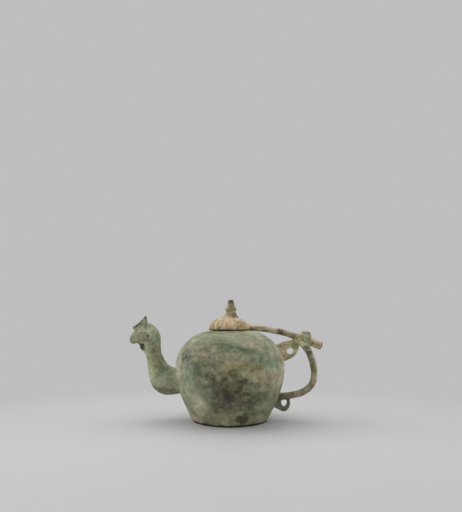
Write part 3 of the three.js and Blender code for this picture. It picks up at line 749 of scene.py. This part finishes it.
    def finish(self, relief, contrast, level):
        """Gives the colour its grain and its level, and the skin its relief."""
        grain = self.sum("ADD", self.sum("MULTIPLY", self.small, 0.5),
                         self.sum("MULTIPLY", self.fine, 0.5))
        shade = self.sum("MULTIPLY_ADD", grain, 4 * contrast * level, (1 - 2 * contrast) * level)
        tone = self.add("ShaderNodeCombineColor")
        for socket in tone.inputs:
            self.feed(socket, shade)
        self.colour = self.mix(1.0, self.colour, tone.outputs[0], "MULTIPLY")
        pits = self.add("ShaderNodeTexVoronoi")
        self.feed(pits.inputs["Vector"], self.where)
        pits.inputs["Scale"].default_value = 0.55
        hole = self.fit(pits.outputs["Distance"], 0.32, 0.08)
        height = self.sum("ADD", self.small, self.sum("MULTIPLY", self.fine, 0.5))
        height = self.sum("MULTIPLY_ADD", hole, -0.35, height)
        bump = self.add("ShaderNodeBump")
        bump.inputs["Strength"].default_value = 0.9
        bump.inputs["Distance"].default_value = relief * MM
        self.feed(bump.inputs["Height"], height)
        skin = self.add("ShaderNodeBsdfPrincipled")
        skin.inputs["Metallic"].default_value = 0.12
        skin.inputs["Specular IOR Level"].default_value = 0.35
        self.feed(skin.inputs["Base Color"], self.colour)
        rough = self.add("ShaderNodeMapRange")
        self.feed(rough.inputs["Value"], self.middle)
        rough.inputs["From Min"].default_value = 0.3
        rough.inputs["From Max"].default_value = 0.7
        rough.inputs["To Min"].default_value = 0.62
        rough.inputs["To Max"].default_value = 0.86
        self.feed(skin.inputs["Roughness"], rough.outputs[0])
        self.feed(skin.inputs["Normal"], bump.outputs[0])
        out = self.add("ShaderNodeOutputMaterial")
        self.feed(out.inputs["Surface"], skin.outputs[0])
        return self.material


# The body's crust: first the shoulder and the two pale edges, partly crust and partly painted
# highlight of the light from the sides, then the patches of the front, roughly from the top down,
# then three on the far side

crust = Corrosion("body_crust", ("55543f", "6a6a53", "808067", "92917a", "a8a48a"), 1, (1, 1, 1.3))
crust.blotch("7d8166", (0, -10, 98), (60, 60, 18), 0.8, 0.6, 0.8)
# Pale bands down the left and right edges: partly pale crust, partly painted highlight where side
# light falls
crust.blotch("aeac95", (-57, -18, 56), (7, 24, 34), 0.9, 0.7)
crust.blotch("98947b", (57, -16, 60), (9, 24, 34), 0.8, 0.7)
crust.blotch("424139", (-46.5, -36.5, 65.5), (7, 13, 12), 1.0, 0.8, 0.7)
crust.blotch("5f6653", (-44, -38, 45), (4, 10, 8), 0.85, 0.9, 0.7)
crust.blotch("817963", (-24, -48, 75), (14, 14, 6), 0.85, 1.3, 0.7)
crust.blotch("646d52", (8, -51, 78.5), (24, 16, 5), 0.9, 1.3, 0.7)
crust.blotch("aca38d", (22, -45, 83.5), (11, 14, 4.5), 0.85, 1.3, 0.7)
crust.blotch("5d6a54", (-30, -51, 58), (10, 16, 9), 0.9, 1.2, 0.9)
crust.blotch("77806a", (31, -48, 69), (10, 14, 7), 0.85, 1.3, 0.7)
crust.blotch("8f8963", (10, -57, 58), (22, 14, 8), 0.9, 1.3, 0.7)
crust.blotch("8c8160", (33, -49, 51), (9, 12, 8), 0.85, 1.3, 0.7)
crust.blotch("9c947c", (48, -36, 51), (8, 14, 9), 0.85, 1.1, 0.7)
crust.blotch("87997f", (46, -38, 62), (6, 12, 6), 0.8, 1.1, 0.8)
crust.blotch("4f5c48", (13, -50, 77.5), (14, 16, 1.7), 0.9, 0.6, 0.6, 15)
crust.blotch("62694a", (6, -58, 44), (13, 12, 8), 0.85, 1.3, 0.7)
crust.blotch("4f4d3d", (-16, -56, 43), (5, 12, 10), 0.9, 1.2, 0.6)
crust.blotch("443c30", (-3, -55, 33), (20, 20, 14), 0.97, 0.8, 0.7)
crust.blotch("5d513f", (6, -54, 30), (5, 12, 5), 0.6, 0.9, 0.7)
crust.blotch("666f58", (-24, -51, 36), (8, 12, 10), 0.9, 1.3, 0.7)
crust.blotch("828f74", (-42, -43, 42), (7, 14, 19), 0.85, 1.4, 0.9, -8)
crust.blotch("aeac90", (-31, -40, 19), (9, 14, 11), 0.9, 1.2, 0.6)
crust.blotch("5f604b", (27, -48, 31), (12, 14, 12), 0.85, 1.3, 0.7)
crust.blotch("6f6e56", (25, -42, 16), (16, 14, 8), 0.75, 1.3, 0.7)
crust.blotch("8b8a6b", (-6, -44, 8), (12, 10, 6), 0.8, 1.2, 0.6)
crust.blotch("b09f90", (-34, -27, 4.5), (9, 14, 4.5), 0.85, 0.8)
crust.blotch("4c4135", (10, -42, 9.5), (4, 20, 4.6), 0.8, 0.5, 0.3)
crust.blotch("4d4234", (14.6, -42, 8.5), (4.4, 20, 5), 0.85, 0.5, 0.35)
crust.blotch("a59b82", (26, -36, 4.5), (9, 10, 3), 0.6, 1.2)
crust.blotch("5a6450", (20, 48, 60), (26, 22, 18), 0.75)
crust.blotch("565141", (-22, 46, 34), (22, 20, 14), 0.85)
crust.blotch("948a68", (34, 30, 30), (16, 22, 16), 0.6)
crust.mottle()
crust.speckle("657656", 8, 0.52, 0.66, 0.5, crust.scaled((1, 1, 1.6)))
crust.speckle("8a7c58", 6, 0.54, 0.66, 0.45)
crust.streak("a9b095", (-50, -34, 48), (11, 24, 34), 0.45, (1, 1, 0.2), 3)
crust.streak("5d5442", (-24, -48, 76), (14, 14, 7), 0.7, (0.35, 1, 1.4), 2.2)
crust.streak("6b755c", (0, 0, 91), (70, 70, 10), 0.45, (0.06, 0.06, 1.1), 1.3)
crust.streak("a0a286", (0, 0, 92), (70, 70, 9), 0.3, (0.06, 0.06, 1.2), 1.5)
crust.speckle("4b4a3c", 3.4, 0.58, 0.7, 0.35)
crust.speckle("a8a78b", 3.0, 0.6, 0.72, 0.3)
crust.wear("a7a486", "4c4a3c")
# A near-black band round the foot: partly the foot's dark edge, partly painted contact shadow
# where it meets the floor
crust.blotch("14110d", (0, 0, -1.6), (90, 90, 3.9), 0.97, 0.25, 0.25)
body_crust = crust.finish(0.45, 0.1, 1.21)


# The spout's and head's crust, with the eye, the mouth and the creases by the comb, and painted
# shade round the eye ring, in the gape, over the crown's ridge and in the crease behind the comb

crust = Corrosion("spout_crust", ("717259", "86876d", "979a7e", "a6a88b", "b3b397"), 40)
crust.blotch("a6a98a", (-93, 0, 100), (12, 16, 8), 0.7, 1.1, 0.7)
crust.blotch("7c8a72", (-78.5, 0, 92), (5, 30, 10), 0.8, 1.1, 0.7)
crust.blotch("8e8f68", (-106, 0, 86), (7, 14, 7), 0.8, 1.1, 0.7)
crust.blotch("7d7f6c", (-111, 0, 89), (3, 14, 8), 0.7, 0.8, 0.6)
crust.blotch("7f7a62", (-97, 0, 87), (5, 14, 7), 0.6, 1.2, 0.7)
# A darker band along the up-facing ridge where the crown meets the comb's wedge: painted shade
# that dims the light from above
crust.blotch("83866a", (-98.6, 0, 98.2), (8, 30, 1.9), 0.85, 0.4, 0.6, -40)
crust.blotch("7f7f5c", (-81, 0, 70), (4, 14, 7), 0.3, 1.3, 0.7)
crust.blotch("96976c", (-82, -8, 58), (6, 12, 10), 0.55, 1.2, 0.7)
crust.blotch("75856b", (-69, -10, 49), (8, 14, 11), 0.75, 1.3, 0.7)
crust.blotch("65664c", (-74, 0, 30.5), (19, 24, 7), 0.85, 1.1, 0.8)
crust.blotch("6c705a", (-61, 0, 40), (4, 40, 12), 0.45, 1.2, 0.8)
# The darker band round the eye ring is painted shadow of the raised ring
crust.blotch("6f7057", (-89.8, 0, 89.4), (5.2, 60, 5.2), 0.75, 0.3, 0.25)
crust.blotch("acad93", (-89.4, 0, 89.8), (4.2, 60, 4.2), 0.6, 0.3, 0.25)
crust.blotch("85876b", (-89.4, 0, 89.8), (2.4, 60, 2.4), 0.6, 0.15, 0.3)
crust.blotch("45463a", (-89.6, 0, 90.0), (0.9, 60, 0.9), 0.8, 0.2, 0.6)
# Near-black in the gape under the beak: partly dark patina, partly painted shade of the recess
crust.blotch("32322a", (-97.4, 0, 77.8), (4.3, 60, 3.9), 0.92, 0.5, 0.35)
crust.blotch("77775f", (-96.7, 0, 79.6), (1.1, 60, 0.9), 0.85, 0.3, 0.4)
# Painted shade in the crease between the back of the comb and the crown
crust.blotch("67664f", (-93.0, 0, 101.2), (0.9, 12, 5.0), 0.7, 0.2, 0.4, 13)
crust.mottle()
crust.speckle("697a63", 5, 0.54, 0.67, 0.3)
crust.speckle("8d8862", 5, 0.56, 0.68, 0.3)
crust.speckle("626149", 3, 0.6, 0.72, 0.25)
crust.wear("a9aa8b", "55543f")
spout_crust = crust.finish(0.45, 0.12, 1.15)


# The comb's crust, dark along its teeth: partly dark patina, partly painted shade on the edge that
# faces down

crust = Corrosion("comb_crust", ("5b5c48", "71725b", "87886e", "96977e", "a6a68f"), 80)
crust.blotch("a09f8f", (-95.4, 0, 105.5), (2.4, 8, 4), 0.7, 0.5)
crust.blotch("9b9c7c", (-99.2, 0, 99.6), (8, 20, 2.6), 0.75, 0.6, 0.6, -42)
# The dark line along the teeth is partly patina and partly painted shade on the down-facing edge
crust.blotch("4c4d41", (-101.3, 0, 105.7), (11, 20, 1.6), 0.9, 0.6, 0.35, -46)
crust.blotch("50514a", (-94.4, 0, 111.6), (1.8, 8, 2.4), 0.9, 0.4)
crust.mottle()
crust.speckle("60614d", 2, 0.57, 0.68, 0.5)
crust.wear("a5a68c", "4b4b3e")
comb_crust = crust.finish(0.4, 0.22, 1.12)


# The grip's crust

crust = Corrosion("handle_crust", ("545244", "6f6c57", "8a866f", "9d977f", "b0a890"), 120)
crust.blotch("6f6f3f", (93, 0, 54), (6, 10, 6), 0.8)
crust.blotch("a0967e", (72, 0, 27), (12, 10, 5), 0.75)
crust.blotch("978e73", (90, 0, 40), (7, 10, 8), 0.5)
crust.blotch("7a7762", (88, 0, 70), (7, 10, 6), 0.6)
crust.mottle()
crust.speckle("4f5040", 3.5, 0.56, 0.67, 0.5)
crust.speckle("a69a80", 2.6, 0.58, 0.7, 0.4)
crust.wear("aaa188", "45443a")
handle_crust = crust.finish(0.45, 0.22, 1.17)


# The bracket's crust

crust = Corrosion("bracket_crust", ("8b8264", "a69e7b", "bfb692", "cdc3a3", "d8ceb3"), 140)
crust.blotch("8b8f6a", (70, 0, 67), (8, 10, 6), 0.75)
crust.blotch("cdb79c", (57, 0, 74), (6, 10, 10), 0.7)
crust.blotch("9b9d79", (72, 0, 81), (7, 20, 5), 0.6)
crust.mottle()
crust.speckle("7f8a66", 3.5, 0.55, 0.67, 0.5)
crust.speckle("6f674c", 2.6, 0.58, 0.7, 0.45)
crust.wear("c3baa0", "5f5a46")
bracket_crust = crust.finish(0.5, 0.25, 1.22)


# The rough crust of the fork and the pin

crust = Corrosion("hinge_crust", ("616143", "878863", "a9a984", "bebd98", "d3d0b0"), 160)
crust.blotch("a6a688", (84.2, -7, 91.4), (4, 6, 3.4), 0.8, 0.8)
crust.blotch("99985f", (76, 0, 86), (5, 30, 4), 0.7, 1.0)
crust.blotch("97927c", (84.5, 0, 94.2), (6, 30, 2.6), 0.8, 0.7)
crust.blotch("77765f", (87, 0, 74), (8, 9, 6), 0.9, 0.8, 0.6)
crust.blotch("6b6650", (82, 0, 77.5), (4, 9, 2.4), 0.7, 0.8, 0.6)
crust.mottle()
crust.speckle("5a593c", 2.2, 0.54, 0.66, 0.55)
crust.speckle("c4c29a", 1.7, 0.56, 0.67, 0.45)
crust.wear("bfbc9a", "4b4a34")
hinge_crust = crust.finish(0.65, 0.25, 1.15)


# The lower ring's crust

crust = Corrosion("ring_crust", ("383b30", "4f5444", "666a58", "777b66", "8b8d76"), 180)
crust.blotch("8a8168", (52, 0, 14), (5, 8, 5), 0.6, 1.0)
crust.mottle()
crust.speckle("3f4238", 2.8, 0.56, 0.68, 0.5)
crust.wear("8f917a", "2f312a")
ring_crust = crust.finish(0.45, 0.25, 1.05)


# The cap's crust, buff and ochre, with a dark band round the bottom of its rim: partly grime,
# partly painted shadow of the gap under the cap

crust = Corrosion("lid_crust", ("806d4e", "9e8a69", "b5a383", "c4b296", "d4c4aa"), 200)
crust.blotch("c8ab90", (1.5, -18, 104), (6, 8, 9), 0.7, 0.9, 0.7)
crust.blotch("967f52", (15, -14, 101), (7, 9, 6), 0.85, 0.9)
crust.blotch("a99a6c", (-15, -13, 104), (5, 8, 4), 0.5, 0.9)
crust.blotch("a58a68", (-19, -10, 99), (5, 8, 3), 0.7, 0.9)
crust.blotch("958a78", (12, 0, 107), (6, 6, 4), 0.6)
# Dark band round the bottom of the rim: partly grime, partly painted shadow of the gap between cap
# and shoulder
crust.blotch("5c4636", (0, 0, 96.2), (90, 90, 1.3), 0.9, 0.5)
crust.mottle()
crust.speckle("7e6948", 3.0, 0.56, 0.67, 0.6)
crust.speckle("dccfb9", 2.4, 0.58, 0.7, 0.5)
crust.wear("c9b797", "5a4a35")
lid_crust = crust.finish(0.5, 0.17, 1.1)


# The finial's crust, dark at its tip and its collar

crust = Corrosion("finial_crust", ("766750", "918268", "ab9a7f", "bbad94", "cabea8"), 220)
crust.blotch("5a564a", (0.8, 0, 129.6), (8, 8, 4.0), 0.9, 0.6)
crust.blotch("5c594c", (7.0, 0, 119.3), (2.2, 5, 2.6), 0.9, 0.3)
crust.blotch("6d675b", (-5.6, 0, 119.3), (1.7, 5, 2.0), 0.8, 0.3)
crust.blotch("7d7460", (6, -2, 114.5), (2.6, 5, 4), 0.5)
# A pale pinkish spot on the front of the finial's foot: a painted highlight
crust.blotch("c4a88e", (-1, -5, 112), (5, 6, 4), 0.7, 0.8)
crust.mottle()
crust.speckle("6b5c45", 2, 0.56, 0.67, 0.6)
crust.wear("c6b79e", "4f4535")
finial_crust = crust.finish(0.5, 0.25, 1.05)


# The lever's crust, in streaks along it, with a dark band, a dark end and a painted highlight
# along the thumb-piece

crust = Corrosion("lever_crust", ("73684f", "93886d", "afa58b", "beb49b", "cdc4ad"), 240,
                  (0.5, 1, 1.4))
crust.blotch("54442f", (56, 0, 95), (5.2, 9, 6), 0.95, 0.6)
crust.blotch("7a6a52", (63, 0, 92), (3, 9, 5), 0.5, 0.9)
crust.blotch("8a8666", (68, 0, 91), (6, 9, 6), 0.7)
crust.blotch("b5a07c", (95, 0, 81), (8, 9, 6), 0.75, 0.8)
crust.blotch("6a5d43", (89, 0, 83), (2.4, 9, 5), 0.6, 0.6)
crust.blotch("5f5138", (95.0, 0, 80.6), (8, 9, 0.55), 0.8, 0.25, 0.5, 20)
# A pale line along the upper facet of the thumb-piece: a painted highlight
crust.blotch("b3a281", (95.0, 0, 83.6), (8, 9, 0.8), 0.7, 0.25, 0.5, 20)
crust.blotch("4a453d", (101.6, 0, 78), (1.5, 9, 5), 0.95, 0.2, 0.3)
crust.blotch("a59474", (26, 0, 99), (8, 9, 5), 0.8)
crust.mottle()
crust.streak("6b6048", (60, 0, 92), (50, 9, 20), 0.5, (0.3, 1, 1.6), 2)
crust.streak("ccc4ae", (45, 0, 98), (30, 9, 9), 0.6, (0.25, 1, 1.6), 2.4)
crust.speckle("615846", 2.4, 0.56, 0.68, 0.5)
crust.wear("c6bca2", "4c4538")
lever_crust = crust.finish(0.45, 0.18, 1.2)


# What each piece is made of, rides on and replaces

PIECES = [
    (body, body_crust, "vessel", "body_bronze", "vessel_body"),
    (spout, spout_crust, "vessel", "spout_bronze", "spout_neck"),
    (head, spout_crust, "vessel", "spout_bronze", "rooster_head"),
    (comb, comb_crust, "vessel", "comb_bronze", "comb_plate"),
    (bracket, bracket_crust, "vessel", "handle_bronze", "upper_bracket"),
    (fork, hinge_crust, "vessel", "hinge_bronze", "fork_ear_front", "fork_ear_back",
     "fork_saddle"),
    (pin, hinge_crust, "vessel", "pin_bronze", "hinge_pin"),
    (grip, handle_crust, "vessel", "handle_bronze", "handle_bar"),
    (lower_ring, ring_crust, "vessel", "ring_bronze", "lower_ring"),
    (cap, lid_crust, "lid", "lid_bronze", "lid_cap"),
    (finial, finial_crust, "lid", "lid_bronze", "lid_finial"),
    (lever, lever_crust, "lid", "lever_bronze", "lid_lever"),
]
for piece, material, rides_on, slot_name, *nodes in PIECES:
    piece.data.materials.clear()
    piece.data.materials.append(material)
    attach(piece, rides_on)
    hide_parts(*nodes)


# The floor, which curves up into a wall behind. Lengths from here on are in metres

FLOOR_GREY, FAR_GREY = "c3c3c4", "bebebe"
STUDIO_LENGTH, STUDIO_DEPTH, STUDIO_HEIGHT, COVE = 8, 3.2, 3, 1.0
FADE_CENTRE, FADE_START, FADE_END = 0.15, 0.12, 0.45  # where the floor's paint goes flat grey

bpy.ops.mesh.primitive_plane_add(size=1)
floor = begin("floor")
bpy.ops.transform.resize(value=(STUDIO_LENGTH, STUDIO_DEPTH, 1), center_override=(0, 0, 0))
bpy.ops.mesh.select_all(action="DESELECT")
bpy.ops.object.mode_set(mode="OBJECT")
for edge in floor.data.edges:
    ends = [floor.data.vertices[i] for i in edge.vertices]
    edge.select = all(end.co.y > 0 for end in ends)
bpy.ops.object.mode_set(mode="EDIT")
bpy.ops.mesh.extrude_region_move(TRANSFORM_OT_translate={"value": (0, 0, STUDIO_HEIGHT)})
leave(floor)
work(floor, "BEVEL", width=COVE, segments=24, limit_method="ANGLE")
only(floor)
bpy.ops.object.shade_smooth()


def studio_grey():
    """Floor paint that takes the shadow near the object and goes flat grey further off."""
    material = bpy.data.materials.new("studio_grey")
    material.use_nodes = True
    nodes, links = material.node_tree.nodes, material.node_tree.links
    paint_coat = nodes["Principled BSDF"]
    paint_coat.inputs["Base Color"].default_value = paint(FLOOR_GREY)
    paint_coat.inputs["Roughness"].default_value = 0.6
    paint_coat.inputs["Specular IOR Level"].default_value = 0.18
    flat = nodes.new("ShaderNodeEmission")
    flat.inputs["Color"].default_value = paint(FAR_GREY)
    place = nodes.new("ShaderNodeTexCoord")
    distance = nodes.new("ShaderNodeVectorMath")
    distance.operation = "LENGTH"
    ahead = nodes.new("ShaderNodeMapping")
    ahead.inputs["Location"].default_value = (0, FADE_CENTRE, 0)
    links.new(place.outputs["Object"], ahead.inputs["Vector"])
    links.new(ahead.outputs["Vector"], distance.inputs[0])
    far = nodes.new("ShaderNodeMapRange")
    far.interpolation_type = "SMOOTHSTEP"
    far.inputs["From Min"].default_value = FADE_START
    far.inputs["From Max"].default_value = FADE_END
    links.new(distance.outputs["Value"], far.inputs["Value"])
    ray = nodes.new("ShaderNodeLightPath")
    seen = nodes.new("ShaderNodeMath")
    seen.operation = "MAXIMUM"
    links.new(ray.outputs["Is Camera Ray"], seen.inputs[0])
    links.new(ray.outputs["Is Glossy Ray"], seen.inputs[1])
    share = nodes.new("ShaderNodeMath")
    share.operation = "MULTIPLY"
    links.new(far.outputs[0], share.inputs[0])
    links.new(seen.outputs[0], share.inputs[1])
    blend = nodes.new("ShaderNodeMixShader")
    links.new(share.outputs[0], blend.inputs[0])
    links.new(paint_coat.outputs[0], blend.inputs[1])
    links.new(flat.outputs[0], blend.inputs[2])
    links.new(blend.outputs[0], nodes["Material Output"].inputs["Surface"])
    return material


floor.data.materials.append(studio_grey())


# The lights

def softbox(name, at, toward, size, watts):
    """A flat lamp that faces a point."""
    lamp = bpy.data.lights.new(name, "AREA")
    lamp.shape = "RECTANGLE"
    lamp.size, lamp.size_y = size
    lamp.energy = watts
    holder = bpy.data.objects.new(name, lamp)
    bpy.context.scene.collection.objects.link(holder)
    holder.location = at
    holder.rotation_euler = (Vector(toward) - Vector(at)).to_track_quat("-Z", "Y").to_euler()


softbox("overhead", (-0.15, 0.5, 1.35), (0, 0, 0), (1.6, 1.2), 10)
softbox("left_box", (-1.1, 0.1, 0.5), (0, 0, 0.06), (0.9, 0.9), 7)
softbox("right_box", (1.1, 0.1, 0.5), (0, 0, 0.06), (0.9, 0.9), 5)

SKY_STRENGTH = 0.53

world = bpy.data.worlds.new("studio")
bpy.context.scene.world = world
world.use_nodes = True
sky, sky_links = world.node_tree.nodes, world.node_tree.links
glow = sky["Background"]
glow.inputs["Color"].default_value = (1, 1, 1, 1)
glow.inputs["Strength"].default_value = SKY_STRENGTH
seen_grey = sky.new("ShaderNodeBackground")
seen_grey.inputs["Color"].default_value = paint(FAR_GREY)
seen_ray = sky.new("ShaderNodeLightPath")
either = sky.new("ShaderNodeMixShader")
sky_links.new(seen_ray.outputs["Is Camera Ray"], either.inputs[0])
sky_links.new(glow.outputs[0], either.inputs[1])
sky_links.new(seen_grey.outputs[0], either.inputs[2])
sky_links.new(either.outputs[0], sky["World Output"].inputs["Surface"])


# The camera, higher than the belly and tilted up a little

PICTURE_HEIGHT, FOCAL_LENGTH = 512, 484  # pixels
SENSOR = 36  # millimetres, the camera's own
CAMERA_PLACE = (0.001, -0.545, 0.1079)
CAMERA_TILT = 7.47  # degrees

lens = bpy.data.cameras.new("camera")
lens.lens = FOCAL_LENGTH * SENSOR / PICTURE_HEIGHT
lens.clip_start = 0.01
camera = bpy.data.objects.new("camera", lens)
bpy.context.scene.collection.objects.link(camera)
camera.location = CAMERA_PLACE
camera.rotation_euler = (math.radians(90 + CAMERA_TILT), 0, 0)
bpy.context.scene.camera = camera
bpy.context.scene.view_settings.view_transform = "Standard"
